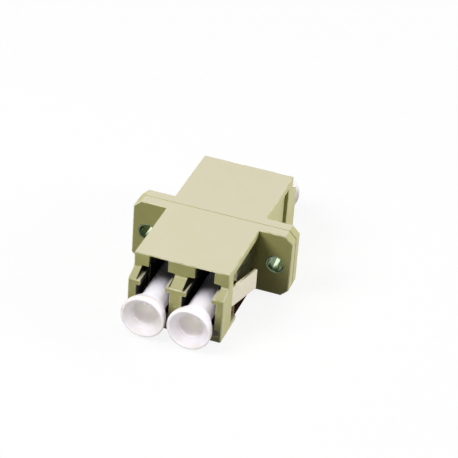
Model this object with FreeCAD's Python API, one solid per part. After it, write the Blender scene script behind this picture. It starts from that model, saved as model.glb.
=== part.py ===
import FreeCAD, Part
import os
from math import cos, radians, sin

# Duplex LC fibre adapter in a flanged single-width shell, with its panel clip and dust caps.
# Millimetres. X runs across the flange, -Y is the front (the side with the clip), +Z is up.
# The origin lies under the middle of the flange, on the plane that the adapter rests on.

# ---- Ports: all are measured from the floor up and from the port's own centre line
port_pitch = 6.25            # centre to centre of the two ports
port_floor = 0.9             # wall under a port
port_width = 4.7
port_height = 4.8            # room for the plug's square body
rail_height = 0.7            # rails that keep the plug's body down
rail_inset = 0.6             # how far each rail stands into the port
latch_ear_height = 1.1       # slot for the two ears of the plug's latch
latch_ear_width = 4.6
shoulder_height = 1.2        # blocks that the latch ears catch behind
shoulder_length = 2.0
latch_slot_width = 2.65
roof_wall = 0.6
roof_lead_rise = 0.5         # taper of the roof at the mouth
roof_lead_length = 1.4
latch_pocket_end = 6.5       # from the seam to the pocket's back wall
relief_height = 0.95         # relief in the lower outer corner of each port
relief_width = 0.6
relief_depth = 2.9
mark_radius = 0.38           # round ejector mark on the middle post
mark_depth = 0.06
mark_height = 4.2

# ---- Shell
side_wall = 0.975            # port to outside face
upper_reach = 13.0           # seam to the upper front face
jaw_reach = 14.9             # seam to the front of the lower jaw
jaw_lip = 0.05               # jaw top above the rails
ledge_rise = 0.75            # slope from the jaw top back to the upper face
edge_break = 0.12            # small chamfer on the outer edges

# ---- Flange
half_flange = 1.6
ear_end = 2.1                # screw hole to the end of the ear
ear_chamfer = 1.0
seam_groove = 0.07
hole_spacing = 18.0
bush_bore = 2.2
bush_wall = 0.2
bush_fit = 0.02
bush_lead = 0.1

# ---- Recess for the panel clip, on each side and under each half
recess_depth = 0.5
recess_strip = 1.1           # full-width strip left above the recess
cheek_length = 1.85          # full-width block left behind the upper front face
sill_height = 0.65
sill_length = 2.05
base_recess = 0.4

# ---- Slots for the clip's hooks, through the side walls of the front half only
slot_length = 1.8            # from the full-width block back
ramp_length = 1.35           # the recess floor falls into the slot
ramp_depth = 0.15

# ---- Panel clip
clip_sheet = 0.3
clip_bend = 0.25             # inside radius of the two lower corners
clip_corner_gap = 0.05
clip_play = 0.1              # clip to the sill
clip_flange_gap = 1.0
clip_top_gap = 0.3
clip_port_gap = 0.075        # hook to the port's side
hook_run = 0.6               # length of each stretch of the hook in the slot
hairpin_radius = 0.15        # inside
leaf_height = 3.0
leaf_angle = 15.5
leaf_corner = 0.12
panel_gap = 3.95             # leaf tip to flange

# ---- Alignment sleeves and their holders
sleeve_bore = 1.25
sleeve_wall = 0.185
sleeve_length = 6.8
sleeve_slot = 0.3
sleeve_play = 0.05
barrel_wall = 0.49
barrel_lip = 0.55
barrel_lip_bore = 1.4
barrel_lead = 0.15
plate_thickness = 1.5
plate_margin = 0.35          # plate beyond the ports, on every side
plate_corner = 0.4
plate_fit = 0.03

# ---- Dust caps
cap_fit = 0.05               # cap to barrel
cap_wall = 0.35
cap_seat_gap = 0.5           # cap to plate
cap_barrel_room = 0.6        # cap's blind end to barrel tip
cap_stickout = 3.3           # beyond the jaw
cap_rim_gap = 0.3            # between neighbouring rims
cap_rim_edge = 0.2           # chamfer on the outside of the rim
cap_lip = 0.15               # flat of the rim, before the face dips
cap_flare_start = 0.5        # inside the jaw
cap_flare_bulge = 0.22       # how far the flare's arc hangs below its chord
cap_mouth_radius = 1.6
cap_mouth_depth = 0.7
cap_bore_depth = 5.0

# ---- Sizes that follow
half_pitch = port_pitch / 2
half_port = port_width / 2
port_top = port_floor + port_height
port_axis = port_floor + port_height / 2
rail_top = port_top + rail_height
shoulder_low = rail_top + latch_ear_height
roof_low = shoulder_low + shoulder_height
body_height = roof_low + roof_wall
flange_width = hole_spacing + 2 * ear_end
half_body = half_pitch + half_port + side_wall
middle = body_height / 2
jaw_top = rail_top + jaw_lip
recess_floor = half_body - recess_depth
recess_top = body_height - recess_strip
recess_end = upper_reach - cheek_length
base_end = recess_end - sill_length
sleeve_radius = sleeve_bore / 2 + sleeve_wall
pocket_radius = sleeve_radius + sleeve_play
barrel_radius = pocket_radius + barrel_wall
barrel_reach = sleeve_length / 2 + sleeve_play + barrel_lip
PAST = 1.0                   # cutting tools run past the faces by this much
ROUNDING = 1e-4              # coordinates closer than this are the same

X_AXIS = FreeCAD.Vector(1, 0, 0)
Y_AXIS = FreeCAD.Vector(0, 1, 0)
Z_AXIS = FreeCAD.Vector(0, 0, 1)
ORIGIN = FreeCAD.Vector(0, 0, 0)


def point(x, y, z):
    """Position or direction."""
    return FreeCAD.Vector(x, y, z)


def block(low, high):
    """Box between two opposite corners."""
    size = [high[i] - low[i] for i in range(3)]
    return Part.makeBox(*size, point(*low))


def prism(points, along):
    """Solid of a flat closed outline swept along a vector."""
    outline = Part.makePolygon(points + points[:1])
    return Part.Face(outline).extrude(along)


def side_profile(points, half_width):
    """Outline given as (y, z), swept evenly to both sides of the middle."""
    corners = [point(-half_width, y, z) for y, z in points]
    return prism(corners, X_AXIS * (2 * half_width))


def rod(radius, x, z, y_from, y_to):
    """Round bar parallel to Y."""
    return Part.makeCylinder(radius, y_to - y_from, point(x, y_from, z), Y_AXIS)


def cone(r_from, r_to, x, z, y_from, y_to):
    """Round taper parallel to Y."""
    return Part.makeCone(r_from, r_to, y_to - y_from, point(x, y_from, z), Y_AXIS)


def mirrored(shape):
    """The same shape on the other side of the middle."""
    return shape.mirror(ORIGIN, X_AXIS)


def turned(shape):
    """The same shape turned half round, to the rear."""
    copy = shape.copy()
    copy.rotate(ORIGIN, Z_AXIS, 180)
    return copy


def edges_at(shape, test):
    """Edges whose two ends both pass the test."""
    return [e for e in shape.Edges if all(test(v.Point) for v in e.Vertexes)]


def near(a, b):
    """True if two coordinates are the same, but for rounding."""
    return abs(a - b) < ROUNDING


def edges_along_y(shape):
    """Edges whose two ends have the same x and z."""
    ends = [(e, e.Vertexes[0], e.Vertexes[-1]) for e in shape.Edges]
    return [e for e, a, b in ends if near(a.X, b.X) and near(a.Z, b.Z)]


# ---- Housing half

def outer_body():
    """Outer block of one half: upper face set back, lower jaw forward, sloping ledge between."""
    inside_flange = -half_flange / 2
    body = side_profile(
        [
            (inside_flange, 0),
            (inside_flange, body_height),
            (-upper_reach, body_height),
            (-upper_reach, jaw_top + ledge_rise),
            (-jaw_reach, jaw_top),
            (-jaw_reach, 0),
        ],
        half_body,
    )
    outer = [e for e in body.Edges if min(v.Y for v in e.Vertexes) < inside_flange]
    return body.makeChamfer(edge_break, outer)


def half_flange_plate():
    """Half of the flange, with chamfered ear corners and a fine groove at the seam."""
    x, c, top = flange_width / 2, ear_chamfer, body_height
    lower = [(-x, c), (-x + c, 0), (x - c, 0), (x, c)]
    upper = [(x, top - c), (x - c, top), (-x + c, top), (-x, top - c)]
    corners = [point(a, -half_flange, b) for a, b in lower + upper]
    plate = prism(corners, Y_AXIS * half_flange)
    front = edges_at(plate, lambda corner: near(corner.y, -half_flange))
    plate = plate.makeChamfer(edge_break, front)
    seam = edges_at(plate, lambda corner: near(corner.y, 0))
    return plate.makeChamfer(seam_groove, seam)


def port_cavity(x):
    """Everything that a plug and its latch need, centred on x."""
    def slot(half_width, low, high, y_from, y_to):
        """Box on the port's centre line, from y_from in front of the seam back to y_to."""
        return block((x - half_width, -y_from, low), (x + half_width, -y_to, high))

    mouth = jaw_reach + PAST
    plug = slot(half_port, port_floor, port_top, mouth, plate_thickness)
    between_rails = slot(half_port - rail_inset, port_top, rail_top, mouth, latch_pocket_end)
    latch_ears = slot(latch_ear_width / 2, rail_top, shoulder_low, mouth, latch_pocket_end)
    latch_slot = slot(latch_slot_width / 2, shoulder_low, roof_low, mouth, latch_pocket_end)
    behind_shoulders = upper_reach - shoulder_length
    pocket = slot(half_port, shoulder_low, roof_low, behind_shoulders, latch_pocket_end)
    return [plug, between_rails, latch_ears, latch_slot, pocket, roof_lead(x)]


def roof_lead(x):
    """Taper that guides the latch under the roof."""
    half = latch_slot_width / 2
    start, end = -upper_reach + roof_lead_length, -upper_reach - PAST
    slope = roof_lead_rise / roof_lead_length
    high = roof_low + slope * (start - end)
    outline = [(start, roof_low), (end, high), (end, roof_low)]
    return prism([point(x - half, y, z) for y, z in outline], X_AXIS * latch_slot_width)


def corner_relief():
    """Relief in the lower outer corner of the right port."""
    wall = half_pitch + half_port
    low = (wall - relief_width, -jaw_reach - PAST, port_floor)
    high = (wall + relief_width, -jaw_reach + relief_depth, port_floor + relief_height)
    return block(low, high)


def clip_recess():
    """Recess for the panel clip, down both sides and under the body, with round lower corners."""
    out = half_body + PAST
    around = block((-out, -base_end, -PAST), (out, -half_flange, recess_top))
    core = block((-recess_floor, -jaw_reach, base_recess), (recess_floor, 0, body_height))
    lower = [e for e in edges_along_y(core) if near(e.Vertexes[0].Z, base_recess)]
    return around.cut(core.makeFillet(clip_bend + clip_corner_gap, lower))


def recess_over_sill():
    """Front stretch of the right recess, which ends on a sill instead of running underneath."""
    out = half_body + PAST
    return block((recess_floor, -recess_end, sill_height), (out, -base_end, recess_top))


def hook_slot():
    """Slot through the right wall, above the sill, and the ramp that leads into it."""
    out = half_body + PAST
    into_port = half_body - side_wall - PAST
    slot_back = recess_end - slot_length
    slot = block((into_port, -recess_end, sill_height), (out, -slot_back, recess_top))
    ramp = prism(
        [
            point(recess_floor, -slot_back + ramp_length, sill_height),
            point(recess_floor, -slot_back, sill_height),
            point(recess_floor - ramp_depth, -slot_back, sill_height),
        ],
        Z_AXIS * (recess_top - sill_height),
    )
    return [slot, ramp]


def plate_pocket():
    """Pocket in the seam face that traps the sleeve holder."""
    x = half_pitch + half_port + plate_margin
    low, high = port_floor - plate_margin, port_top + plate_margin
    pocket = block((-x, -plate_thickness, low), (x, PAST, high))
    return pocket.makeFillet(plate_corner, edges_along_y(pocket))


def ejector_mark():
    """Round mark on the front of the middle post."""
    return rod(mark_radius, 0, mark_height, -jaw_reach - PAST, -jaw_reach + mark_depth)


def housing_half(hook_slots):
    """One moulded half, lying on the -Y side of the seam; hook_slots is empty without a clip."""
    shell = outer_body().fuse(half_flange_plate()).removeSplitter()
    cuts = port_cavity(-half_pitch) + port_cavity(half_pitch)
    for side_cut in hook_slots + [recess_over_sill(), corner_relief()]:
        cuts += [side_cut, mirrored(side_cut)]
    hole_radius = bush_bore / 2 + bush_wall + bush_fit
    for x in (-hole_spacing / 2, hole_spacing / 2):
        cuts.append(rod(hole_radius, x, middle, -half_flange - PAST, PAST))
    cuts += [clip_recess(), plate_pocket(), ejector_mark()]
    return shell.cut(cuts).removeSplitter()


# ---- Panel clip

def sheet(edges, thickness, along):
    """Sheet metal: a path thickened to its right (left if negative), swept along a vector."""
    path = Part.Wire([e.toShape() for e in edges])
    return path.makeOffset2D(thickness, 2, True, True).extrude(along)


def line(a, b):
    """Straight stretch of a path."""
    return Part.LineSegment(a, b)


def clip_saddle():
    """Base under the body and the two arms, bent from one strip."""
    inner, low, top, r = recess_floor, base_recess, recess_top - clip_top_gap, clip_bend
    y = -base_end + clip_play
    k = r * (1 - cos(radians(45)))
    left_top, left_low = point(-inner, y, top), point(-inner, y, low + r)
    base_left, base_right = point(-inner + r, y, low), point(inner - r, y, low)
    right_low, right_top = point(inner, y, low + r), point(inner, y, top)
    path = [
        line(left_top, left_low),
        Part.Arc(left_low, point(-inner + k, y, low + k), base_left),
        line(base_left, base_right),
        Part.Arc(base_right, point(inner - k, y, low + k), right_low),
        line(right_low, right_top),
    ]
    length = base_end - clip_play - half_flange - clip_flange_gap
    return sheet(path, -clip_sheet, Y_AXIS * length)


def hook_path(z):
    """Outer face of the right arm's front end, which dips into the slot in the side wall."""
    slot_start = -(recess_end - slot_length)
    outer = recess_floor + clip_sheet
    deep = outer - (side_wall - recess_depth - clip_port_gap)
    turns = [
        point(outer, -base_end + clip_play, z),
        point(outer, slot_start - clip_play, z),
        point(deep, slot_start - hook_run, z),
        point(deep, slot_start - 2 * hook_run, z),
    ]
    return [line(a, b) for a, b in zip(turns, turns[1:])]


def leaf_path(z):
    """Hairpin at the end of the hook, then the leaf's inner face, out to its free tip."""
    start = hook_path(z)[-1].EndPoint
    lean = radians(leaf_angle)
    centre = start + point(hairpin_radius, 0, 0)
    front = centre - point(0, hairpin_radius, 0)
    end = centre + point(hairpin_radius * cos(lean), -hairpin_radius * sin(lean), 0)
    run = (-half_flange - panel_gap - end.y) / cos(lean)
    tip = end + point(run * sin(lean), run * cos(lean), 0)
    return [Part.Arc(start, front, end), line(end, tip)]


def clip_side():
    """Hook and leaf of the right arm."""
    low, high = sill_height + clip_play, recess_top - clip_top_gap
    hook = sheet(hook_path(low), clip_sheet, Z_AXIS * (high - low))
    leaf_low = middle - leaf_height / 2
    leaf = sheet(hook_path(leaf_low) + leaf_path(leaf_low), clip_sheet, Z_AXIS * leaf_height)
    reach = leaf.BoundBox.YMax
    across = [e for e in leaf.Edges if near(e.Length, clip_sheet)]
    tip = [e for e in across if e.BoundBox.YMax > reach - clip_sheet]
    return hook.fuse(leaf.makeFillet(leaf_corner, tip))


def panel_clip():
    """The whole clip: saddle, and a hook with its leaf on each side."""
    side = clip_side()
    return clip_saddle().fuse([side, mirrored(side)]).removeSplitter()


# ---- Alignment sleeves, holders and bushes

def sleeve_holder():
    """Front holder: a plate in the seam pocket, with a barrel round each sleeve."""
    x = half_pitch + half_port + plate_margin - plate_fit
    low, high = port_floor - plate_margin + plate_fit, port_top + plate_margin - plate_fit
    plate = block((-x, -plate_thickness, low), (x, 0, high))
    plate = plate.makeFillet(plate_corner, edges_along_y(plate))
    bores = []
    for centre in (-half_pitch, half_pitch):
        plate = plate.fuse(barrel(centre))
        bores.append(rod(pocket_radius, centre, port_axis, -barrel_reach + barrel_lip, PAST))
        bores.append(rod(barrel_lip_bore / 2, centre, port_axis, -barrel_reach - PAST, 0))
    return plate.cut(bores).removeSplitter()


def barrel(centre):
    """Round barrel with a lead at its tip, for the cap or a plug's ferrule cavity."""
    tip = -barrel_reach + barrel_lead
    body = rod(barrel_radius, centre, port_axis, tip, -plate_thickness / 2)
    lead = cone(barrel_radius - barrel_lead, barrel_radius, centre, port_axis, -barrel_reach, tip)
    return body.fuse(lead)


def alignment_sleeve(centre):
    """Split tube, with its slot upwards."""
    half = sleeve_length / 2
    tube = rod(sleeve_radius, centre, port_axis, -half, half)
    bore = rod(sleeve_bore / 2, centre, port_axis, -half - PAST, half + PAST)
    slot_low = (centre - sleeve_slot / 2, -half - PAST, port_axis)
    slot_high = (centre + sleeve_slot / 2, half + PAST, port_axis + sleeve_radius + PAST)
    return tube.cut([bore, block(slot_low, slot_high)])


def screw_bush(centre):
    """Metal tube flush with both faces of the flange, with a lead at each mouth."""
    radius = bush_bore / 2
    tube = rod(radius + bush_wall, centre, middle, -half_flange, half_flange)
    bore = rod(radius, centre, middle, -half_flange - PAST, half_flange + PAST)
    lead_end = -half_flange + bush_lead
    mouth = cone(radius + bush_lead, radius, centre, middle, -half_flange, lead_end)
    rear_mouth = turned(mouth).translated(X_AXIS * (2 * centre))
    return tube.cut([bore, mouth, rear_mouth])


# ---- Dust caps

def cap_corners():
    """Half section of the front cap as (radius, y), in three runs: inner bore, flare, mouth."""
    bore = barrel_radius + cap_fit
    shank = bore + cap_wall
    inner_end = -plate_thickness - cap_seat_gap
    blind = -barrel_reach - cap_barrel_room
    face = -jaw_reach - cap_stickout
    rim = (port_pitch - cap_rim_gap) / 2
    inner = [(0, blind), (bore, blind), (bore, inner_end), (shank, inner_end)]
    flare = [(shank, -jaw_reach + cap_flare_start), (rim, face + cap_rim_edge)]
    mouth_bottom = face + cap_mouth_depth
    bore_bottom = face + cap_bore_depth
    lip = [(rim - cap_rim_edge, face), (rim - cap_rim_edge - cap_lip, face)]
    mouth = [(cap_mouth_radius, mouth_bottom), (cap_mouth_radius, bore_bottom), (0, bore_bottom)]
    return inner, flare, lip + mouth


def dust_cap(centre):
    """Front cap: a tube over the barrel, a solid web, and a flared mouth with a blind bore."""
    inner, flare, outer = ([point(r, y, 0) for r, y in run] for run in cap_corners())
    chord = flare[1] - flare[0]
    inwards = point(chord.y, -chord.x, 0).normalize()
    waist = (flare[0] + flare[1]) / 2 + inwards * cap_flare_bulge
    runs = inner + flare[:1]
    path = [line(a, b).toShape() for a, b in zip(runs, runs[1:])]
    path.append(Part.Arc(flare[0], waist, flare[1]).toBSpline().toShape())
    runs = flare[1:] + outer + inner[:1]
    path += [line(a, b).toShape() for a, b in zip(runs, runs[1:])]
    cap = Part.Face(Part.Wire(path)).revolve(ORIGIN, Y_AXIS, 360)
    return cap.translated(point(centre, 0, port_axis))


# ---- Write one STEP per piece

def pieces():
    """All thirteen pieces by name, in place."""
    holder = sleeve_holder()
    nodes = {
        "front_housing": housing_half(hook_slot()),
        "rear_housing": turned(housing_half([])),
        "panel_clip": panel_clip(),
        "front_sleeve_holder": holder,
        "rear_sleeve_holder": turned(holder),
    }
    for side, sign in (("left", -1), ("right", 1)):
        nodes[side + "_alignment_sleeve"] = alignment_sleeve(sign * half_pitch)
        nodes[side + "_screw_bush"] = screw_bush(sign * hole_spacing / 2)
        nodes["front_" + side + "_cap"] = dust_cap(sign * half_pitch)
        nodes["rear_" + side + "_cap"] = turned(dust_cap(-sign * half_pitch))
    return nodes


def main():
    """Write one STEP file per piece."""
    os.makedirs("parts", exist_ok=True)
    for name, shape in pieces().items():
        shape.exportStep("parts/" + name + ".step")
        print(name, len(shape.Solids), round(shape.Volume, 3), shape.isValid())


main()
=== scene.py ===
from math import cos, pi, radians, sin, tan
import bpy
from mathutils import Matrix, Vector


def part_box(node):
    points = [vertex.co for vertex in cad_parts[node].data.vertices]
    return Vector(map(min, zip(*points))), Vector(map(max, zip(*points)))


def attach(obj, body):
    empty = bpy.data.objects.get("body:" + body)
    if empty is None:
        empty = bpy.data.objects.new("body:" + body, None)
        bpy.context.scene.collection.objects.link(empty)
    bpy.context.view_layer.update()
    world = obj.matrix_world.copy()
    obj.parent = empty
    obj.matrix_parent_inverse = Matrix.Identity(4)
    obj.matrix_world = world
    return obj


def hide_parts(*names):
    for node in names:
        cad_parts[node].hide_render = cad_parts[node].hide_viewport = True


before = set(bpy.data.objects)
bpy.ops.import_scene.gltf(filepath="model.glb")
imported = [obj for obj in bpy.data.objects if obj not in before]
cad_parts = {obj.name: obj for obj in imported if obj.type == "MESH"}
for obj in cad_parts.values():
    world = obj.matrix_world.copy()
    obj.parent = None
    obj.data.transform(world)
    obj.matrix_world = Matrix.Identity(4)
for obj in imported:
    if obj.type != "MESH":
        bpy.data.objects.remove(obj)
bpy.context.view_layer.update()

from types import SimpleNamespace

import bmesh
import bpy
from bpy.props import FloatProperty, FloatVectorProperty, PointerProperty
from mathutils import Matrix, Vector

bl_info = {
    "name": "Duplex LC fibre adapter",
    "version": (1, 0, 0),
    "blender": (4, 5, 0),
    "location": "3D View > Sidebar > LC adapter",
    "description": "Dresses the packed adapter: moulded shell, spring clip, bushes and dust caps",
    "category": "Object",
}

# Everything is modelled in millimetres and scaled to metres as its last step.
MM = 0.001
ADAPTER = "adapter"
CAPS = ("front_left_cap", "front_right_cap", "rear_left_cap", "rear_right_cap")


# ---- Sizes read from the packed model, in millimetres

def node_box(name):
    """Lowest and highest corner of a packed node."""
    low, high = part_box(name)
    return low / MM, high / MM


def node_centre(name):
    """Middle of a packed node's box."""
    low, high = node_box(name)
    return (low + high) / 2


SHELL_LOW, SHELL_HIGH = node_box("front_housing")
CAP_LOW, CAP_HIGH = node_box("front_right_cap")
CAP_RIM = (CAP_HIGH.x - CAP_LOW.x) / 2
CAP_FACE, CAP_END = -CAP_LOW.y, -CAP_HIGH.y
BUSH_LOW, BUSH_HIGH = node_box("right_screw_bush")
BUSH_RADIUS = (BUSH_HIGH.x - BUSH_LOW.x) / 2
SLEEVE_LOW, SLEEVE_HIGH = node_box("right_alignment_sleeve")
SLEEVE_RADIUS = (SLEEVE_HIGH.x - SLEEVE_LOW.x) / 2
JAW_REACH = -SHELL_LOW.y
PORT_X = (CAP_LOW.x + CAP_HIGH.x) / 2
MIDDLE = (SHELL_LOW.z + SHELL_HIGH.z) / 2

# Sizes that no box gives, as in the part's source.
PORT_HALF = 2.35                            # half of a port's width
PORT_FLOOR, PORT_ROOF = 0.9, 8.7
UPPER_REACH = 13.0                          # seam to the shell's upper front face
JAW_TOP, LEDGE_RISE = 6.45, 0.75            # top of the jaw, and the slope above it
LEAF_ROOT_X, LEAF_ROOT_Y = 6.14, 10.59      # where the inner face of a leaf starts
LEAF_LEAN = radians(15.5)
MASK_PLAY = 0.02                            # the ports' mask reaches this far past their walls


# ---- Kinds of settings

def size(label, text, default, least=0.0):
    """A length property: written in millimetres here, held in metres."""
    return FloatProperty(
        name=label, description=text, default=default * MM, min=least * MM, precision=5, unit="LENGTH"
    )


def amount(label, text, default):
    """A plain factor."""
    return FloatProperty(name=label, description=text, default=default, min=0.0, max=1.0, subtype="FACTOR")


def colour(label, text, default):
    """A surface colour."""
    return FloatVectorProperty(
        name=label, description=text, default=default, min=0.0, max=1.0, subtype="COLOR"
    )


def angle(label, text, default):
    """An angle property: written in degrees here, held in radians."""
    return FloatProperty(name=label, description=text, default=radians(default), unit="ROTATION")


def power(label, text, default):
    """The power of a lamp, in watts."""
    return FloatProperty(name=label, description=text, default=default, min=0.0, unit="POWER")


def in_millimetres(settings):
    """The values of a group of settings, with its lengths in millimetres."""
    values = {}
    for name in type(settings).__annotations__:
        value = getattr(settings, name)
        if settings.bl_rna.properties[name].unit == "LENGTH":
            value = round(value / MM, 6)
        values[name] = value
    return SimpleNamespace(**values)


# ---- Settings

class ShellSettings(bpy.types.PropertyGroup):
    """Moulded shell and sleeve holders."""
    edge_width: size("Edge softening", "Width of the softened corners", 0.08)
    # Painted highlight along the corners, together with their wear
    worn_and_highlit: colour("Corners", "Colour of the resin where its corners are rubbed", (0.82, 0.80, 0.56))
    # Painted light: paler where faces turn up to the lamps, darker on the ends that face the plugs
    pale: colour("Top", "Colour of the resin where it faces up", (0.69, 0.65, 0.47))
    flank: colour("Flanks", "Colour of the resin on the flanks", (0.70, 0.67, 0.34))
    ends: colour("Ends", "Colour of the resin where it faces the plugs", (0.414, 0.403, 0.145))
    # Painted shade, deep in the ports and along the seam
    painted_shade: colour("Port interior", "Colour deep inside the ports", (0.008, 0.008, 0.005))
    # Width of the painted shade along the seam's groove
    seam_width: size("Seam", "Width of the line that dirt draws along the seam", 0.3)
    grain: size("Grain", "Size of the mould's grain", 0.09)
    roughness: amount("Roughness", "How dull the resin is", 0.55)


class ClipSettings(bpy.types.PropertyGroup):
    """Spring clip."""
    edge_width: size("Edge softening", "Width of the softened corners", 0.05)
    tint: colour("Steel", "Colour of the rolled steel", (0.76, 0.70, 0.55))
    # Painted shade and reflection: darker steel on the arms, darkest low down
    painted_dark_low: colour("Temper, low", "Colour that hardening left low on the strip", (0.11, 0.065, 0.035))
    painted_dark_high: colour("Temper, high", "Colour that hardening left high on the strip", (0.20, 0.20, 0.13))
    roughness: amount("Roughness", "How dull the steel is", 0.2)


class BushSettings(bpy.types.PropertyGroup):
    """Screw bushes."""
    bore: size("Bore radius", "Radius of the screw hole", 1.1)
    mouth_round: size("Mouth rounding", "Rounding of the mouths of the bore", 0.1)
    edge_round: size("Edge rounding", "Rounding of the outer edges", 0.04)
    tint: colour("Plating", "Colour of the plating", (0.19, 0.245, 0.155))
    roughness: amount("Roughness", "How dull the plating is", 0.15)


class SleeveSettings(bpy.types.PropertyGroup):
    """Alignment sleeves."""
    bore: size("Bore radius", "Radius of the bore", 0.625)
    slot: size("Slot", "Width of the slot along the sleeve", 0.3)
    mouth_round: size("Mouth rounding", "Rounding of the mouths of the bore", 0.06)
    edge_round: size("Edge rounding", "Rounding of the outer edges", 0.05)
    tint: colour("Ceramic", "Colour of the ceramic", (0.86, 0.86, 0.84))
    roughness: amount("Roughness", "How dull the ceramic is", 0.2)


class CapSettings(bpy.types.PropertyGroup):
    """Dust caps."""
    shank: size("Shank radius", "Outside radius of the straight part", 1.75)
    bore: size("Bore radius", "Radius of the bore that holds the barrel", 1.4)
    blind: size("Blind end", "From the seam to the blind end of that bore", 4.6)
    flare_start: size("Flare start", "From the seam to where the cap widens", 14.75)
    flare_end: size("Flare end", "From the face to where the flare bends into the rim", 1.05)
    flare_inset: size("Flare inset", "From the rim in to that bend", 0.12)
    rim_length: size("Rim length", "Length of the rim's straight side", 0.6)
    mouth: size("Mouth radius", "Radius of the open bore in the face", 1.6)
    mouth_depth: size("Dish depth", "Depth of the dish round the open bore", 0.9)
    mouth_bore: size("Mouth depth", "Depth of the open bore", 5.0)
    lip: size("Lip", "Width of the rim's flat face", 0.35)
    tint: colour("Polyethylene", "Colour of the shanks", (0.86, 0.84, 1.0))
    # Painted shade greys the mouths; painted light brightens their open bores
    mouth_shade: colour("Mouth", "Colour of the mouths, greyer from handling", (0.66, 0.62, 0.59))
    bore_light: colour("Open bore", "Colour inside the open bore, kept clean", (0.97, 0.92, 0.86))
    roughness: amount("Roughness", "How dull the caps are", 0.38)


class StageSettings(bpy.types.PropertyGroup):
    """Camera and lights."""
    azimuth: angle("Azimuth", "Camera's turn round the adapter", 17.194)
    elevation: angle("Elevation", "Camera's height above the horizon", 33.358)
    roll: angle("Roll", "Camera's tilt", 4.3645)
    distance: size("Distance", "Camera to the middle of the adapter", 276.095)
    side_offset: size("Side offset", "Adapter beside the middle of the view", -1.898, least=-100.0)
    up_offset: size("Up offset", "Adapter above the middle of the view", -1.7487, least=-100.0)
    lens: FloatProperty(name="Lens", description="Focal length", default=163.64, min=1.0, unit="CAMERA")
    top_light: power("Top light", "Overhead lamp", 0.15)
    side_light: power("Side light", "Lamp on the right", 0.82)
    front_light: power("Front light", "Lamp in front, on the left", 1.04)
    rear_light: power("Rear light", "Lamp behind", 0.3)
    cap_low: power("Caps, low", "The caps' low front lamp", 0.95)
    cap_front: power("Caps, front", "The caps' high front lamp", 0.23)
    cap_top: power("Caps, top", "The caps' wide overhead lamp", 2.1)
    fill: amount("Fill", "Light from all round", 0.01)


SETTINGS = {
    "lc_shell": ShellSettings,
    "lc_clip": ClipSettings,
    "lc_bush": BushSettings,
    "lc_sleeve": SleeveSettings,
    "lc_cap": CapSettings,
    "lc_stage": StageSettings,
}


# ---- Node trees

def add_node(tree, kind, **values):
    """New node; values name its properties, and those not found there its inputs."""
    made = tree.nodes.new(kind)
    for key, value in values.items():
        if hasattr(made, key):
            setattr(made, key, value)
        else:
            made.inputs[key.replace("_", " ")].default_value = value
    return made


def wire(tree, source, target):
    """Link two sockets."""
    tree.links.new(source, target)


def feed(tree, value, target):
    """Link a socket to an input, or set the input to a plain value."""
    if isinstance(value, bpy.types.NodeSocket):
        wire(tree, value, target)
    else:
        target.default_value = value


def new_group(name, kind, inputs, outputs):
    """Node group with named sockets, its input node and its output node."""
    tree = bpy.data.node_groups.new(name, kind)
    for label, socket_type, default in inputs:
        socket = tree.interface.new_socket(label, in_out="INPUT", socket_type="NodeSocket" + socket_type)
        if default is not None:
            socket.default_value = default
    for label, socket_type in outputs:
        tree.interface.new_socket(label, in_out="OUTPUT", socket_type="NodeSocket" + socket_type)
    return tree, tree.nodes.new("NodeGroupInput"), tree.nodes.new("NodeGroupOutput")


def maths(tree, operation, *operands, clamp=False):
    """Math node on sockets or numbers; gives its output socket."""
    made = add_node(tree, "ShaderNodeMath", operation=operation, use_clamp=clamp)
    for operand, target in zip(operands, made.inputs):
        feed(tree, operand, target)
    return made.outputs[0]


def mapped(tree, value, low, high):
    """0 to 1 as value goes from low to high, eased at both ends."""
    made = add_node(tree, "ShaderNodeMapRange", interpolation_type="SMOOTHSTEP")
    for label, given in (("Value", value), ("From Min", low), ("From Max", high)):
        feed(tree, given, made.inputs[label])
    return made.outputs["Result"]


def stretched(tree, value):
    """0 to 1 over the middle of a noise's range."""
    return mapped(tree, value, low=0.3, high=0.7)


def about(tree, value, middle, spread):
    """A number round a middle: half of spread below it where value is 0, half above where it is 1."""
    return maths(tree, "MULTIPLY_ADD", value, spread, middle - spread / 2)


# A Mix node has sockets for each kind of data; these are the ones for colours.
MIX_FIRST, MIX_SECOND, MIX_RESULT = 6, 7, 2


def blended(tree, factor, first, second, share=1.0):
    """Mix of two colours, each a socket or a colour; where factor is 1, the second takes its share."""
    if share < 1.0:
        factor = maths(tree, "MULTIPLY", factor, share)
    made = add_node(tree, "ShaderNodeMix", data_type="RGBA")
    wire(tree, factor, made.inputs["Factor"])
    for index, value in ((MIX_FIRST, first), (MIX_SECOND, second)):
        plain = not isinstance(value, bpy.types.NodeSocket)
        feed(tree, (*value, 1.0) if plain else value, made.inputs[index])
    return made.outputs[MIX_RESULT]


def times(tint, factor):
    """A colour made lighter or darker."""
    return tuple(min(1.0, part * factor) for part in tint)


def object_place(tree):
    """Place on the piece, in metres."""
    return add_node(tree, "ShaderNodeTexCoord").outputs["Object"]


def place_parts(tree):
    """The piece's own x, y and z in millimetres."""
    place = add_node(tree, "ShaderNodeVectorMath", operation="SCALE", Scale=1 / MM)
    wire(tree, object_place(tree), place.inputs[0])
    parts = add_node(tree, "ShaderNodeSeparateXYZ")
    wire(tree, place.outputs[0], parts.inputs[0])
    return parts.outputs


def from_port_axis(tree, place):
    """How far to the side of the nearer port's middle a place lies."""
    return maths(tree, "SUBTRACT", maths(tree, "ABSOLUTE", place["X"]), PORT_X)


def noise(tree, place, feature, detail, roughness=0.5, finer=1.0):
    """Noise with features about as large as the socket feature says, in millimetres."""
    made = add_node(tree, "ShaderNodeTexNoise", Detail=detail, Roughness=roughness)
    wire(tree, place, made.inputs["Vector"])
    wire(tree, maths(tree, "DIVIDE", finer / MM, feature), made.inputs["Scale"])
    return made.outputs["Fac"]


# ---- Shader groups

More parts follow.
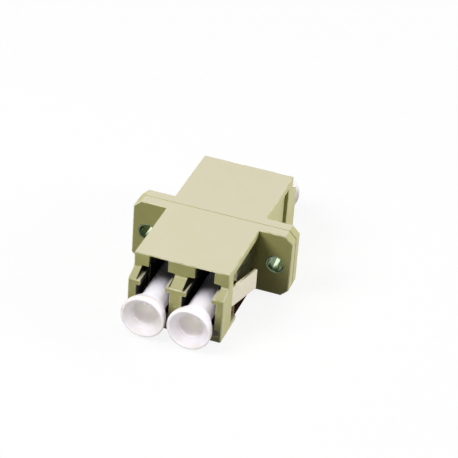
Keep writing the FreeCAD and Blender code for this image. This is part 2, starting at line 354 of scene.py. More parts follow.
def grain_group():
    """Fine mould grain and a slow unevenness of the colour."""
    tree, given, out = new_group(
        "Mould grain",
        "ShaderNodeTree",
        [("Grain Size", "Float", 0.1), ("Cloud Size", "Float", 4.0)],
        [("Height", "Float"), ("Cloud", "Float")],
    )
    place = object_place(tree)
    grain = noise(tree, place, given.outputs["Grain Size"], detail=3.0, roughness=0.55)
    wire(tree, grain, out.inputs["Height"])
    cloud = noise(tree, place, given.outputs["Cloud Size"], detail=2.0, roughness=0.55)
    wire(tree, cloud, out.inputs["Cloud"])
    return tree


def worn_and_highlit_group():
    """Corners that handling has worn and that carry a painted highlight, broken up along their length."""
    tree, given, out = new_group(
        "Rubbed and highlit corners",
        "ShaderNodeTree",
        [("Patch Size", "Float", 1.0), ("Amount", "Float", 0.6)],
        [("Mask", "Float")],
    )
    corner = add_node(tree, "ShaderNodeAttribute", attribute_name="corner")
    patches = noise(tree, object_place(tree), given.outputs["Patch Size"], detail=3.0)
    patches = mapped(tree, patches, low=0.3, high=0.6)
    worn_and_highlit = maths(tree, "MULTIPLY", corner.outputs["Fac"], patches)
    wire(tree, maths(tree, "MULTIPLY", worn_and_highlit, given.outputs["Amount"]), out.inputs["Mask"])
    return tree


def facing_group():
    """Which way a surface faces, in the piece's own directions."""
    tree, _, out = new_group("Facing", "ShaderNodeTree", [], [("Up", "Float"), ("Sideways", "Float")])
    parts = add_node(tree, "ShaderNodeSeparateXYZ")
    wire(tree, add_node(tree, "ShaderNodeTexCoord").outputs["Normal"], parts.inputs["Vector"])
    wire(tree, mapped(tree, parts.outputs["Z"], low=0.85, high=0.99), out.inputs["Up"])
    sideways = maths(tree, "ABSOLUTE", parts.outputs["X"])
    wire(tree, mapped(tree, sideways, low=0.2, high=1.0), out.inputs["Sideways"])
    return tree


def port_group():
    """How deep a surface lies inside a port, from the slanted front of the shell.

    Ledges that face up catch light from above, so their depth counts from further in.
    """
    tree, given, out = new_group(
        "Port depth",
        "ShaderNodeTree",
        [("Shallow", "Float", 0.0), ("Deep", "Float", 0.7)],
        [("Mask", "Float")],
    )
    place = place_parts(tree)
    aside = maths(tree, "ABSOLUTE", from_port_axis(tree, place))
    beside = maths(tree, "LESS_THAN", aside, PORT_HALF + MASK_PLAY)
    above = maths(tree, "SUBTRACT", place["Z"], (PORT_FLOOR + PORT_ROOF) / 2)
    half_height = (PORT_ROOF - PORT_FLOOR) / 2 + MASK_PLAY
    level = maths(tree, "LESS_THAN", maths(tree, "ABSOLUTE", above), half_height)
    climb = maths(tree, "SUBTRACT", place["Z"], JAW_TOP)
    slant = maths(tree, "DIVIDE", climb, LEDGE_RISE, clamp=True)
    set_back = UPPER_REACH - JAW_REACH
    front = maths(tree, "MULTIPLY_ADD", slant, set_back, JAW_REACH)
    ledges = use_group(tree, "Facing").outputs["Up"]
    start = maths(tree, "MULTIPLY_ADD", ledges, set_back, front)
    depth = maths(tree, "SUBTRACT", start, maths(tree, "ABSOLUTE", place["Y"]))
    sunk = mapped(tree, depth, given.outputs["Shallow"], given.outputs["Deep"])
    inside = maths(tree, "MULTIPLY", beside, level)
    wire(tree, maths(tree, "MULTIPLY", sunk, inside), out.inputs["Mask"])
    return tree


def seam_group():
    """Painted shade of the seam's groove between the two shell halves, on faces that look sideways."""
    tree, given, out = new_group(
        "Painted seam shade", "ShaderNodeTree", [("Width", "Float", 0.3)], [("Mask", "Float")]
    )
    away = maths(tree, "ABSOLUTE", place_parts(tree)["Y"])
    share = maths(tree, "DIVIDE", away, given.outputs["Width"])
    line = mapped(tree, share, low=0.5, high=0.2)
    sideways = use_group(tree, "Facing").outputs["Sideways"]
    wire(tree, maths(tree, "MULTIPLY", line, sideways), out.inputs["Mask"])
    return tree


def rolled_group():
    """Fine lines left by rolling, turning or grinding, long where Stretch is small."""
    tree, given, out = new_group(
        "Rolling lines",
        "ShaderNodeTree",
        [("Line Width", "Float", 0.05), ("Stretch", "Vector", (1.0, 0.03, 1.0))],
        [("Height", "Float"), ("Shade", "Float")],
    )
    spread = add_node(tree, "ShaderNodeVectorMath", operation="MULTIPLY")
    wire(tree, object_place(tree), spread.inputs[0])
    wire(tree, given.outputs["Stretch"], spread.inputs[1])
    for output, finer in (("Height", 1.0), ("Shade", 0.25)):
        lines = noise(tree, spread.outputs[0], given.outputs["Line Width"], detail=4.0, finer=finer)
        wire(tree, lines, out.inputs[output])
    return tree


GROUPS = {
    "Mould grain": grain_group,
    "Rubbed and highlit corners": worn_and_highlit_group,
    "Facing": facing_group,
    "Port depth": port_group,
    "Painted seam shade": seam_group,
    "Rolling lines": rolled_group,
}


def use_group(tree, name, **values):
    """Places a shared group in a material, building it the first time."""
    made = tree.nodes.new("ShaderNodeGroup")
    made.node_tree = bpy.data.node_groups.get(name) or GROUPS[name]()
    for key, value in values.items():
        made.inputs[key.replace("_", " ")].default_value = value
    return made


# ---- Materials

WHITE = (1.0, 1.0, 1.0)
ROUND_THE_AXIS = (0.1, 1.0, 0.1)    # stretch of lines that run round a turned piece
PAINTED_DARK_FALL = 2.8                   # painted shade on the arms changes over this height, below the middle
STREAK_DULLNESS = 0.15              # streaks behind the leaves are rougher by this
MOUTH_SHADE_SPAN = (2.2, 0.8)                # painted shade greys a cap's mouth from the first to the second, behind its face


def new_material(name, **sockets):
    """Material with a Principled shader whose constant values are set on its own sockets."""
    material = bpy.data.materials.new(name)
    material.use_nodes = True
    tree = material.node_tree
    tree.nodes.clear()
    shader = tree.nodes.new("ShaderNodeBsdfPrincipled")
    out = tree.nodes.new("ShaderNodeOutputMaterial")
    wire(tree, shader.outputs["BSDF"], out.inputs["Surface"])
    for key, value in sockets.items():
        shader.inputs[key.replace("_", " ")].default_value = value
    return material, tree, shader


def bump(tree, shader, height, depth):
    """Relief of the given depth in millimetres."""
    made = add_node(tree, "ShaderNodeBump", Strength=1.0, Distance=depth * MM)
    wire(tree, height, made.inputs["Height"])
    wire(tree, made.outputs["Normal"], shader.inputs["Normal"])


def resin_material(s):
    """Moulded resin with painted light: pale tops, dark ends, shade in ports and seam, lit and worn
    corners.
    """
    material, tree, shader = new_material("moulded_resin", IOR=1.5, Specular_IOR_Level=0.4)
    grain = use_group(tree, "Mould grain", Grain_Size=s.grain, Cloud_Size=5.0)
    wear_and_highlight = use_group(tree, "Rubbed and highlit corners", Patch_Size=1.5, Amount=0.8)
    facing = use_group(tree, "Facing")
    port = use_group(tree, "Port depth")
    seam = use_group(tree, "Painted seam shade", Width=s.seam_width)
    clouds = stretched(tree, grain.outputs["Cloud"])
    # Painted light and shade: the colour follows the way a face turns to the lamps
    body = blended(tree, facing.outputs["Sideways"], s.ends, s.flank)
    body = blended(tree, facing.outputs["Up"], body, s.pale)
    clouded = blended(tree, clouds, body, times(s.flank, 0.93), share=0.12)
    # Painted shade deep inside the ports
    sunk = blended(tree, port.outputs["Mask"], clouded, s.painted_shade)
    within_reach = maths(tree, "SUBTRACT", 1.0, port.outputs["Mask"])
    touched = maths(tree, "MULTIPLY", wear_and_highlight.outputs["Mask"], within_reach)
    # Painted highlight and wear make the corners lighter
    worn_and_highlit = blended(tree, touched, sunk, s.worn_and_highlit)
    # Painted shade along the seam
    lined = blended(tree, seam.outputs["Mask"], worn_and_highlit, s.painted_shade, share=0.8)
    wire(tree, lined, shader.inputs["Base Color"])
    wire(tree, about(tree, clouds, s.roughness, spread=0.12), shader.inputs["Roughness"])
    bump(tree, shader, grain.outputs["Height"], depth=0.004)
    return material


def leaf_mask(tree, place):
    """1 on the leaves, which stand out from the arms, and 0 on the rest of the clip."""
    along = maths(tree, "ADD", place["Y"], LEAF_ROOT_Y)
    leaf_x = maths(tree, "MULTIPLY_ADD", along, tan(LEAF_LEAN), LEAF_ROOT_X)
    out = maths(tree, "SUBTRACT", maths(tree, "ABSOLUTE", place["X"]), leaf_x)
    return mapped(tree, out, low=-0.25, high=-0.15)


def steel_material(s):
    """Rolled spring steel; away from the leaves, painted shade and reflection darken it, most low down."""
    material, tree, shader = new_material("spring_steel", Metallic=1.0)
    place = place_parts(tree)
    lines = use_group(tree, "Rolling lines", Line_Width=0.03)
    wear_and_highlight = use_group(tree, "Rubbed and highlit corners", Patch_Size=0.8, Amount=0.7)
    shade = stretched(tree, lines.outputs["Shade"])
    streaked = blended(tree, shade, s.tint, times(s.tint, 0.88), share=0.5)
    # Painted highlight and wear make the steel's corners lighter
    clean = blended(tree, wear_and_highlight.outputs["Mask"], streaked, times(s.tint, 1.1))
    # Painted shade and reflection darken the arms, most low down, but not the leaves
    height = mapped(tree, place["Z"], MIDDLE - PAINTED_DARK_FALL, MIDDLE)
    painted_dark = blended(tree, height, s.painted_dark_low, s.painted_dark_high)
    painted_dark = blended(tree, shade, painted_dark, s.tint, share=0.12)
    leaf = leaf_mask(tree, place)
    wire(tree, blended(tree, leaf, painted_dark, clean), shader.inputs["Base Color"])
    # Painted reflection: darker reflections on the arms low down, white on the leaves and high up
    pale = maths(tree, "MAXIMUM", leaf, height)
    wire(tree, blended(tree, pale, s.painted_dark_low, WHITE), shader.inputs["Specular Tint"])
    behind = maths(tree, "SUBTRACT", 1.0, leaf)
    streaks = maths(tree, "MULTIPLY", shade, behind)
    rough = maths(tree, "MULTIPLY_ADD", streaks, STREAK_DULLNESS, s.roughness)
    wire(tree, rough, shader.inputs["Roughness"])
    bump(tree, shader, lines.outputs["Height"], depth=0.002)
    return material


def plated_material(s):
    """Plated metal of the bushes, with the fine lines that turning leaves round them."""
    material, tree, shader = new_material("plated_metal", Metallic=1.0)
    lines = use_group(tree, "Rolling lines", Line_Width=0.08, Stretch=ROUND_THE_AXIS)
    shade = stretched(tree, lines.outputs["Shade"])
    wire(tree, blended(tree, shade, s.tint, times(s.tint, 0.75)), shader.inputs["Base Color"])
    wire(tree, about(tree, shade, s.roughness, spread=0.1), shader.inputs["Roughness"])
    bump(tree, shader, lines.outputs["Height"], depth=0.002)
    return material


def polyethylene_material(s):
    """Soft white polyethylene, which lets a little light through; mouths painted shaded, bores painted
    lit.
    """
    material, tree, shader = new_material(
        "white_polyethylene",
        IOR=1.5,
        Subsurface_Weight=1.0,
        Subsurface_Radius=(1.0, 0.95, 1.0),
        Subsurface_Scale=0.5 * MM,
    )
    grain = use_group(tree, "Mould grain", Grain_Size=0.16, Cloud_Size=3.0)
    clouds = stretched(tree, grain.outputs["Cloud"])
    place = place_parts(tree)
    reach = maths(tree, "ABSOLUTE", place["Y"])
    start, end = MOUTH_SHADE_SPAN
    outward = mapped(tree, reach, low=CAP_FACE - start, high=CAP_FACE - end)
    aside = from_port_axis(tree, place)
    above = maths(tree, "SUBTRACT", place["Z"], (CAP_LOW.z + CAP_HIGH.z) / 2)
    squares = maths(tree, "MULTIPLY_ADD", above, above, maths(tree, "MULTIPLY", aside, aside))
    wall = (s.shank + s.mouth) / 2
    within = maths(tree, "LESS_THAN", squares, wall * wall)
    # Painted shade on the mouth, painted light in its open bore
    shaded_mouth = blended(tree, outward, s.tint, s.mouth_shade)
    tinted = blended(tree, within, shaded_mouth, s.bore_light)
    clouded = blended(tree, clouds, tinted, times(s.tint, 0.95), share=0.4)
    wire(tree, clouded, shader.inputs["Base Color"])
    wire(tree, about(tree, clouds, s.roughness, spread=0.1), shader.inputs["Roughness"])
    bump(tree, shader, grain.outputs["Height"], depth=0.003)
    return material


def ceramic_material(s):
    """Ground zirconia, with fine lines round it."""
    material, tree, shader = new_material("ground_ceramic", IOR=2.1, Specular_IOR_Level=0.5)
    lines = use_group(tree, "Rolling lines", Line_Width=0.06, Stretch=ROUND_THE_AXIS)
    shade = stretched(tree, lines.outputs["Shade"])
    wire(tree, blended(tree, shade, s.tint, times(s.tint, 0.95)), shader.inputs["Base Color"])
    wire(tree, about(tree, shade, s.roughness, spread=0.1), shader.inputs["Roughness"])
    bump(tree, shader, lines.outputs["Height"], depth=0.001)
    return material


# ---- Meshes

WELD = 0.001                 # points nearer than this are one
FLAT = radians(0.5)          # faces that turn by less than this are one
CORNER = radians(20)         # outward edges that turn by more than this are rounded
SHARP = radians(30)          # edges that turn by more than this are shaded sharp
CHAMFER = (0.1, 0.2)         # the mould's own chamfers are this wide
ROOM = 3                     # faces narrower than this many roundings keep their corners
SQUARE = 0.95                # part of a normal along an axis, from which the face is square to it


def finish_piece(name, mesh, nodes, body, material):
    """Puts a finished mesh in the scene, in place of the packed nodes it stands for."""
    if not mesh.materials:
        mesh.materials.append(material)
    piece = bpy.data.objects.new(name, mesh)
    bpy.context.scene.collection.objects.link(piece)
    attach(piece, body)
    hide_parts(*nodes)


def face_width(face):
    """Rough width of a face: that of a long strip with its area and rim."""
    return 2 * face.calc_area() / face.calc_perimeter()


def is_slanted(normal):
    """True if a face looks along none of the three axes."""
    return max(abs(part) for part in normal) < SQUARE


def softened(source, width):
    """Copy of a packed node's mesh with its outward corners rounded."""
    shape = bmesh.new()
    shape.from_mesh(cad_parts[source].data)
    bmesh.ops.scale(shape, vec=(1 / MM,) * 3, verts=shape.verts)
    bmesh.ops.remove_doubles(shape, verts=shape.verts, dist=WELD)
    bmesh.ops.dissolve_limit(shape, angle_limit=FLAT, verts=shape.verts, edges=shape.edges)
    corner = shape.faces.layers.float.new("corner")
    narrow, broad = CHAMFER
    for face in shape.faces:
        face[corner] = float(narrow < face_width(face) < broad and is_slanted(face.normal))
    weight = shape.edges.layers.float.new("bevel_weight_edge")
    for edge in shape.edges:
        if len(edge.link_faces) != 2:
            continue
        wide = min(face_width(f) for v in edge.verts for f in v.link_faces) > ROOM * width
        if edge.calc_face_angle_signed() > CORNER and wide:
            edge[weight] = 1.0
    mesh = bpy.data.meshes.new(source + "_soft")
    shape.to_mesh(mesh)
    shape.free()
    mesh.set_sharp_from_angle(angle=SHARP)
    return rounded(mesh, width)


def rounded(mesh, width):
    """Bevels the weighted edges and marks the new faces as corners."""
    # Two stand-in materials tell the bevel's faces from the rest, and go at the end.
    for label in ("flat", "corner"):
        mesh.materials.append(bpy.data.materials.new(label))
    holder = bpy.data.objects.new("holder", mesh)
    bpy.context.scene.collection.objects.link(holder)
    bevel = holder.modifiers.new("Corners", "BEVEL")
    bevel.limit_method = "WEIGHT"
    bevel.width = width
    bevel.segments = 2
    bevel.use_clamp_overlap = False
    bevel.material = 1
    even = holder.modifiers.new("Even shading", "WEIGHTED_NORMAL")
    even.keep_sharp = True
    result = plain_mesh(holder)
    mark = result.attributes["corner"].data
    for face in result.polygons:
        mark[face.index].value = max(mark[face.index].value, float(face.material_index == 1))
    result.polygons.foreach_set("material_index", [0] * len(result.polygons))
    while result.materials:
        bpy.data.materials.remove(result.materials.pop())
    result.transform(Matrix.Scale(MM, 4))
    return result


def plain_mesh(holder):
    """Mesh of an object with its modifiers in it; the object goes."""
    graph = bpy.context.evaluated_depsgraph_get()
    mesh = bpy.data.meshes.new_from_object(
        holder.evaluated_get(graph), preserve_all_data_layers=True, depsgraph=graph
    )
    bpy.data.objects.remove(holder)
    return mesh


# ---- Turned pieces

CREASE = radians(40)         # edges of a turned piece that turn by more than this are shaded sharp

# The half section is swept round a ring of this radius and moved in by as much, so that it turns
# about the axis itself.
RING = 1.0


def turned_tree():
    """Geometry nodes: a half section turned about the Y axis, repeated in a row across X."""
    tree, given, out = new_group(
        "Turned piece",
        "GeometryNodeTree",
        [
            ("Section", "Object", None),
            ("Sides", "Int", 64),
            ("Corner Steps", "Int", 4),
            ("Slot Angle", "Float", 0.0),
            ("Place", "Vector", None),
            ("Turn", "Float", 0.0),
            ("Count", "Int", 1),
            ("Spacing", "Float", 0.0),
            ("Material", "Material", None),
        ],
        [("Geometry", "Geometry")],
    )
    # The half section, with its corners rounded.
    section = add_node(tree, "GeometryNodeObjectInfo")
    wire(tree, given.outputs["Section"], section.inputs["Object"])
    corners = add_node(tree, "GeometryNodeFilletCurve", mode="POLY")
    wire(tree, section.outputs["Geometry"], corners.inputs["Curve"])
    wire(tree, given.outputs["Corner Steps"], corners.inputs["Count"])
    wire(tree, tree.nodes.new("GeometryNodeInputRadius").outputs[0], corners.inputs["Radius"])
    corners.inputs["Limit Radius"].default_value = True
    shifted = add_node(tree, "GeometryNodeTransform", Translation=(-RING, 0.0, 0.0))
    wire(tree, corners.outputs["Curve"], shifted.inputs["Geometry"])

    # The ring that it follows, whole or open at the slot.
    circle = add_node(tree, "GeometryNodeCurvePrimitiveCircle", Radius=RING)
    arc = add_node(tree, "GeometryNodeCurveArc", Radius=RING)
    for ring in (circle, arc):
        wire(tree, given.outputs["Sides"], ring.inputs["Resolution"])
    slot = given.outputs["Slot Angle"]
    half_slot = maths(tree, "MULTIPLY", slot, 0.5)
    wire(tree, maths(tree, "ADD", half_slot, pi / 2), arc.inputs["Start Angle"])
    wire(tree, maths(tree, "SUBTRACT", 2 * pi, slot), arc.inputs["Sweep Angle"])
    split = add_node(tree, "GeometryNodeSwitch", input_type="GEOMETRY")
    wire(tree, maths(tree, "GREATER_THAN", slot, 0.0), split.inputs["Switch"])
    wire(tree, circle.outputs["Curve"], split.inputs["False"])
    wire(tree, arc.outputs["Curve"], split.inputs["True"])

    # The turned piece, closed at its poles and laid along Y.
    turned = add_node(tree, "GeometryNodeCurveToMesh")
    turned.inputs["Fill Caps"].default_value = True
    wire(tree, split.outputs["Output"], turned.inputs["Curve"])
    wire(tree, shifted.outputs["Geometry"], turned.inputs["Profile Curve"])
    closed = add_node(tree, "GeometryNodeMergeByDistance", Distance=WELD / 2)
    wire(tree, turned.outputs["Mesh"], closed.inputs["Geometry"])
    laid = add_node(tree, "GeometryNodeTransform", Rotation=(pi / 2, 0.0, 0.0))
    wire(tree, closed.outputs["Geometry"], laid.inputs["Geometry"])

    # A row of them, made real and scaled to metres.
    row = add_node(tree, "GeometryNodeMeshLine")
    wire(tree, given.outputs["Count"], row.inputs["Count"])
    wire(tree, given.outputs["Place"], row.inputs["Start Location"])
    step = add_node(tree, "ShaderNodeCombineXYZ")
    wire(tree, given.outputs["Spacing"], step.inputs["X"])
    wire(tree, step.outputs[0], row.inputs["Offset"])
    facing = add_node(tree, "ShaderNodeCombineXYZ")
    wire(tree, given.outputs["Turn"], facing.inputs["Z"])
    placed = add_node(tree, "GeometryNodeInstanceOnPoints")
    wire(tree, row.outputs["Mesh"], placed.inputs["Points"])
    wire(tree, laid.outputs["Geometry"], placed.inputs["Instance"])
    wire(tree, facing.outputs[0], placed.inputs["Rotation"])
    real = add_node(tree, "GeometryNodeRealizeInstances")
    wire(tree, placed.outputs["Instances"], real.inputs["Geometry"])
    metres = add_node(tree, "GeometryNodeTransform", Scale=(MM, MM, MM))
    wire(tree, real.outputs["Geometry"], metres.inputs["Geometry"])
    dressed = add_node(tree, "GeometryNodeSetMaterial")
    wire(tree, metres.outputs["Geometry"], dressed.inputs["Geometry"])
    wire(tree, given.outputs["Material"], dressed.inputs["Material"])
    wire(tree, dressed.outputs["Geometry"], out.inputs["Geometry"])
    return tree


def section_curve(corners, closed):
    """Half section as a poly curve; each corner is (radius, y, rounding)."""
    data = bpy.data.curves.new("section", "CURVE")
    data.dimensions = "3D"
    spline = data.splines.new("POLY")
    spline.points.add(len(corners) - 1)
    for point, (radius, along, rounding) in zip(spline.points, corners):
        point.co = (radius, along, 0.0, 1.0)
        point.radius = rounding
    spline.use_cyclic_u = closed
    made = bpy.data.objects.new("section", data)
    bpy.context.scene.collection.objects.link(made)
    return made


def turned_mesh(corners, closed, **inputs):
    """Runs the turning tree on a half section and gives the plain mesh."""
    tree = bpy.data.node_groups.get("Turned piece") or turned_tree()
    section = section_curve(corners, closed)
    holder = bpy.data.objects.new("holder", bpy.data.meshes.new("holder"))
    bpy.context.scene.collection.objects.link(holder)
    modifier = holder.modifiers.new("Turned", "NODES")
    modifier.node_group = tree
    inputs["Section"] = section
    for item in tree.interface.items_tree:
        label = item.name.replace(" ", "_")
        if item.in_out == "INPUT" and label in inputs:
            modifier[item.identifier] = inputs[label]
    mesh = plain_mesh(holder)
    bpy.data.objects.remove(section)
    shape = bmesh.new()
    shape.from_mesh(mesh)
    bmesh.ops.recalc_face_normals(shape, faces=shape.faces)
    shape.to_mesh(mesh)
    shape.free()
    mesh.polygons.foreach_set("use_smooth", [True] * len(mesh.polygons))
    mesh.set_sharp_from_angle(angle=CREASE)
    return mesh


def tube_section(s, radius, half):
    """Half section of a straight tube, from -half to half along Y; each corner as in section_curve."""
    return [
        (s.bore, -half, s.mouth_round),
        (radius, -half, s.edge_round),
        (radius, half, s.edge_round),
        (s.bore, half, s.mouth_round),
    ]


def cap_section(s):
    """Half section of a dust cap that faces -Y, from its blind bore round to the open one.

    Each corner is (radius, y, rounding).
    """
    face = -CAP_FACE
    return [
        (0.0, -s.blind, 0.0),
        (s.bore, -s.blind, 0.2),
        (s.bore, -CAP_END, 0.08),
        (s.shank, -CAP_END, 0.1),
        (s.shank, -s.flare_start, 1.6),
        (CAP_RIM - s.flare_inset, face + s.flare_end, 1.0),
        (CAP_RIM, face + s.rim_length, 0.5),
        (CAP_RIM, face, 0.2),
        (CAP_RIM - s.lip, face, 0.3),
        (s.mouth, face + s.mouth_depth, 0.9),
        (s.mouth, face + s.mouth_bore, 0.3),
        (0.0, face + s.mouth_bore, 0.0),
    ]


# ---- Stage

PAPER_SIZE = 800.0           # side of the floor
PAPER_DROP = 0.02            # floor below the adapter, so that the two don't share a plane
PAPER_GLOW = 0.88            # share of its own light in the floor that the camera sees
BOUNCE = (0.06, 0.06, 0.06)  # colour of the floor in the light it gives back
OPAQUE_WHITE = (*WHITE, 1.0)


def seen_directly(tree):
    """1 for what the camera sees, mirrored or through something clear too, and 0 for other rays."""
    rays = add_node(tree, "ShaderNodeLightPath")
    seen = maths(tree, "MAXIMUM", rays.outputs["Is Camera Ray"], rays.outputs["Is Glossy Ray"])
    return maths(tree, "MAXIMUM", seen, rays.outputs["Is Transmission Ray"])


def show_mix(tree, factor, first, second, output):
    """Mixes two shaders into a new output node."""
    shader = add_node(tree, "ShaderNodeMixShader")
    wire(tree, factor, shader.inputs["Fac"])
    wire(tree, first.outputs[0], shader.inputs[1])
    wire(tree, second.outputs[0], shader.inputs[2])
    wire(tree, shader.outputs[0], tree.nodes.new(output).inputs["Surface"])


def make_floor():
    """Wide white floor that keeps a faint shadow of the adapter."""
    half = PAPER_SIZE / 2 * MM
    mesh = bpy.data.meshes.new("floor")
    corners = [(-half, -half, 0), (half, -half, 0), (half, half, 0), (-half, half, 0)]
    mesh.from_pydata(corners, [], [(0, 1, 2, 3)])
    material = bpy.data.materials.new("white_floor")
    material.use_nodes = True
    tree = material.node_tree
    tree.nodes.clear()
    seen = seen_directly(tree)
    paper = tree.nodes.new("ShaderNodeBsdfDiffuse")
    wire(tree, blended(tree, seen, BOUNCE, WHITE), paper.inputs["Color"])
    glow = add_node(tree, "ShaderNodeEmission", Color=OPAQUE_WHITE, Strength=1.0)
    shown = maths(tree, "MULTIPLY", seen, PAPER_GLOW)
    show_mix(tree, shown, paper, glow, "ShaderNodeOutputMaterial")
    mesh.materials.append(material)
    floor = bpy.data.objects.new("floor", mesh)
    floor.location.z = -PAPER_DROP * MM
    bpy.context.scene.collection.objects.link(floor)


def make_world(s):
    """White surroundings, which light the adapter at the fill's level."""
    world = bpy.data.worlds.new("studio")
    bpy.context.scene.world = world
    world.use_nodes = True
    tree = world.node_tree
    tree.nodes.clear()
    fill = add_node(tree, "ShaderNodeBackground", Color=OPAQUE_WHITE, Strength=s.fill)
    white = add_node(tree, "ShaderNodeBackground", Color=OPAQUE_WHITE, Strength=1.0)
    show_mix(tree, seen_directly(tree), fill, white, "ShaderNodeOutputWorld")


def make_lamps(s):
    """Square lamps aimed at the adapter. The caps have three of their own, and two others pass them by."""
    lamps = {  # power, place and width
        "top_lamp": (s.top_light, (-30.0, -10.0, 350.0), 200.0),
        "side_lamp": (s.side_light, (320.0, 110.0, 110.0), 160.0),
        "front_lamp": (s.front_light, (-190.0, -160.0, 245.0), 180.0),
        "rear_lamp": (s.rear_light, (60.0, 320.0, 160.0), 160.0),
        "cap_low_lamp": (s.cap_low, (0.0, -338.0, 30.0), 60.0),
        "cap_front_lamp": (s.cap_front, (-60.0, -130.0, 330.0), 150.0),
        "cap_top_lamp": (s.cap_top, (-60.0, -12.0, 345.0), 400.0),
    }
    aim = Vector((0.0, 0.0, MIDDLE))
    for name, (watts, place, width) in lamps.items():
        data = bpy.data.lights.new(name, "AREA")
        data.shape = "SQUARE"
        data.size = width * MM
        data.energy = watts
        lamp = bpy.data.objects.new(name, data)
        lamp.location = Vector(place) * MM
        lamp.rotation_euler = (aim - Vector(place)).to_track_quat("-Z", "Y").to_euler()
        lamp.visible_camera = False
        bpy.context.scene.collection.objects.link(lamp)
    link_lamps(("cap_low_lamp", "cap_front_lamp", "cap_top_lamp"), "INCLUDE")
    link_lamps(("top_lamp", "front_lamp"), "EXCLUDE")


def link_lamps(names, state):
    """Makes the named lamps light only the caps, or all but the caps."""
    caps = bpy.data.collections.new("caps_" + state.lower())
    for node in CAPS:
        caps.objects.link(bpy.data.objects[node + "_turned"])
    for name in names:
        bpy.data.objects[name].light_linking.receiver_collection = caps
    for entry in caps.collection_objects:
        entry.light_linking.link_state = state


def make_camera(s):
    """Long lens, above the adapter's right front corner."""
    turn, rise, roll = s.azimuth, s.elevation, s.roll
    back = Vector((sin(turn) * cos(rise), -cos(turn) * cos(rise), sin(rise)))
    across = Vector((0, 0, 1)).cross(back).normalized()
    up = back.cross(across)
    right = across * cos(roll) + up * sin(roll)
    over = up * cos(roll) - across * sin(roll)
    data = bpy.data.cameras.new("camera")
    data.sensor_width = 36.0
    data.lens = s.lens
    data.clip_start = 10.0 * MM
    data.clip_end = 10000.0 * MM
    camera = bpy.data.objects.new("camera", data)
    middle = Vector((0.0, 0.0, MIDDLE))
    place = middle - right * s.side_offset - over * s.up_offset + back * s.distance
    rotation = Matrix((right, over, back)).transposed()
    camera.matrix_world = Matrix.Translation(place * MM) @ rotation.to_4x4()
    bpy.context.scene.collection.objects.link(camera)
    bpy.context.scene.camera = camera


# ---- Operators

class BuildShell(bpy.types.Operator):
    """Moulded shell halves"""
    bl_idname = "lc_adapter.shell"
    bl_label = "Shell halves"

    def execute(self, context):
        s = in_millimetres(context.scene.lc_shell)
        material = resin_material(s)
        for half in ("front_housing", "rear_housing"):
            mesh = softened(half, s.edge_width)
            finish_piece(half + "_shell", mesh, [half], ADAPTER, material)
        return {"FINISHED"}


class BuildHolders(bpy.types.Operator):
    """Sleeve holders inside the shell"""
    bl_idname = "lc_adapter.holders"
    bl_label = "Sleeve holders"

    def execute(self, context):
        s = in_millimetres(context.scene.lc_shell)
        material = bpy.data.materials["moulded_resin"]
        for node in ("front_sleeve_holder", "rear_sleeve_holder"):
            mesh = softened(node, s.edge_width)
            finish_piece(node + "_moulding", mesh, [node], ADAPTER, material)
        return {"FINISHED"}


class BuildClip(bpy.types.Operator):
    """Spring clip round the front half"""
    bl_idname = "lc_adapter.clip"
    bl_label = "Spring clip"

    def execute(self, context):
        s = in_millimetres(context.scene.lc_clip)
        mesh = softened("panel_clip", s.edge_width)
        finish_piece("spring_clip", mesh, ["panel_clip"], ADAPTER, steel_material(s))
        return {"FINISHED"}


class BuildBushes(bpy.types.Operator):
    """Metal bushes in the screw holes"""
    bl_idname = "lc_adapter.bushes"
    bl_label = "Screw bushes"

    def execute(self, context):
        s = in_millimetres(context.scene.lc_bush)
        nodes = ["left_screw_bush", "right_screw_bush"]
        left, right = (node_centre(node) for node in nodes)
        material = plated_material(s)
        mesh = turned_mesh(
            tube_section(s, BUSH_RADIUS, (BUSH_HIGH.y - BUSH_LOW.y) / 2),
            closed=True,
            Sides=48,
            Place=left,
            Count=2,
            Spacing=right.x - left.x,
            Material=material,
        )
        finish_piece("screw_bushes", mesh, nodes, ADAPTER, material)
        return {"FINISHED"}


class BuildSleeves(bpy.types.Operator):
    """Split ceramic sleeves"""
    bl_idname = "lc_adapter.sleeves"
    bl_label = "Alignment sleeves"

    def execute(self, context):
        s = in_millimetres(context.scene.lc_sleeve)
        nodes = ["left_alignment_sleeve", "right_alignment_sleeve"]
        left, right = (node_centre(node) for node in nodes)
        material = ceramic_material(s)
        mesh = turned_mesh(
            tube_section(s, SLEEVE_RADIUS, (SLEEVE_HIGH.y - SLEEVE_LOW.y) / 2),
            closed=True,
            Sides=48,
            Slot_Angle=s.slot / SLEEVE_RADIUS,
            Place=Vector((left.x, left.y, SLEEVE_LOW.z + SLEEVE_RADIUS)),
            Count=2,
            Spacing=right.x - left.x,
            Material=material,
        )
        finish_piece("alignment_sleeves", mesh, nodes, ADAPTER, material)
        return {"FINISHED"}


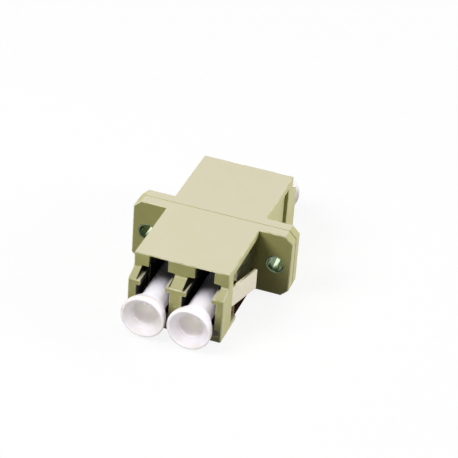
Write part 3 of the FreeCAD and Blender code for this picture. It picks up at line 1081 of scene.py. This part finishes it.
class BuildCaps(bpy.types.Operator):
    """Flared dust caps, one on each port"""
    bl_idname = "lc_adapter.caps"
    bl_label = "Dust caps"

    def execute(self, context):
        s = in_millimetres(context.scene.lc_cap)
        material = polyethylene_material(s)
        for node in CAPS:
            centre = node_centre(node)
            mesh = turned_mesh(
                cap_section(s),
                closed=False,
                Sides=72,
                Corner_Steps=6,
                Place=Vector((centre.x, 0.0, centre.z)),
                Turn=pi if node.startswith("rear") else 0.0,
                Material=material,
            )
            finish_piece(node + "_turned", mesh, [node], node + "_body", material)
        return {"FINISHED"}


class BuildStage(bpy.types.Operator):
    """Floor, lamps and camera"""
    bl_idname = "lc_adapter.stage"
    bl_label = "Floor, lamps and camera"

    def execute(self, context):
        s = in_millimetres(context.scene.lc_stage)
        make_floor()
        make_world(s)
        make_lamps(s)
        make_camera(s)
        context.scene.view_settings.view_transform = "Standard"
        return {"FINISHED"}


# ---- Panel and registration

OPERATORS = (BuildShell, BuildHolders, BuildClip, BuildBushes, BuildSleeves, BuildCaps, BuildStage)


class AdapterPanel(bpy.types.Panel):
    """Lists the pieces and their settings"""
    bl_idname = "VIEW3D_PT_lc_adapter"
    bl_label = "LC adapter"
    bl_space_type = "VIEW_3D"
    bl_region_type = "UI"
    bl_category = "LC adapter"

    def draw(self, context):
        for operator in OPERATORS:
            self.layout.operator(operator.bl_idname)
        for name, group in SETTINGS.items():
            box = self.layout.box()
            box.label(text=group.__doc__)
            for label in group.__annotations__:
                box.prop(getattr(context.scene, name), label)


def register():
    """Makes the settings, the operators and the panel known to Blender."""
    for group in SETTINGS.values():
        bpy.utils.register_class(group)
    for name, group in SETTINGS.items():
        setattr(bpy.types.Scene, name, PointerProperty(type=group))
    for item in (*OPERATORS, AdapterPanel):
        bpy.utils.register_class(item)


def unregister():
    """Takes back all that register did."""
    for item in (AdapterPanel, *reversed(OPERATORS)):
        bpy.utils.unregister_class(item)
    for name, group in SETTINGS.items():
        delattr(bpy.types.Scene, name)
        bpy.utils.unregister_class(group)


def main():
    """Builds every piece and the stage."""
    register()
    bpy.ops.lc_adapter.shell()
    bpy.ops.lc_adapter.holders()
    bpy.ops.lc_adapter.clip()
    bpy.ops.lc_adapter.bushes()
    bpy.ops.lc_adapter.sleeves()
    bpy.ops.lc_adapter.caps()
    bpy.ops.lc_adapter.stage()


if __name__ == "__main__":
    main()
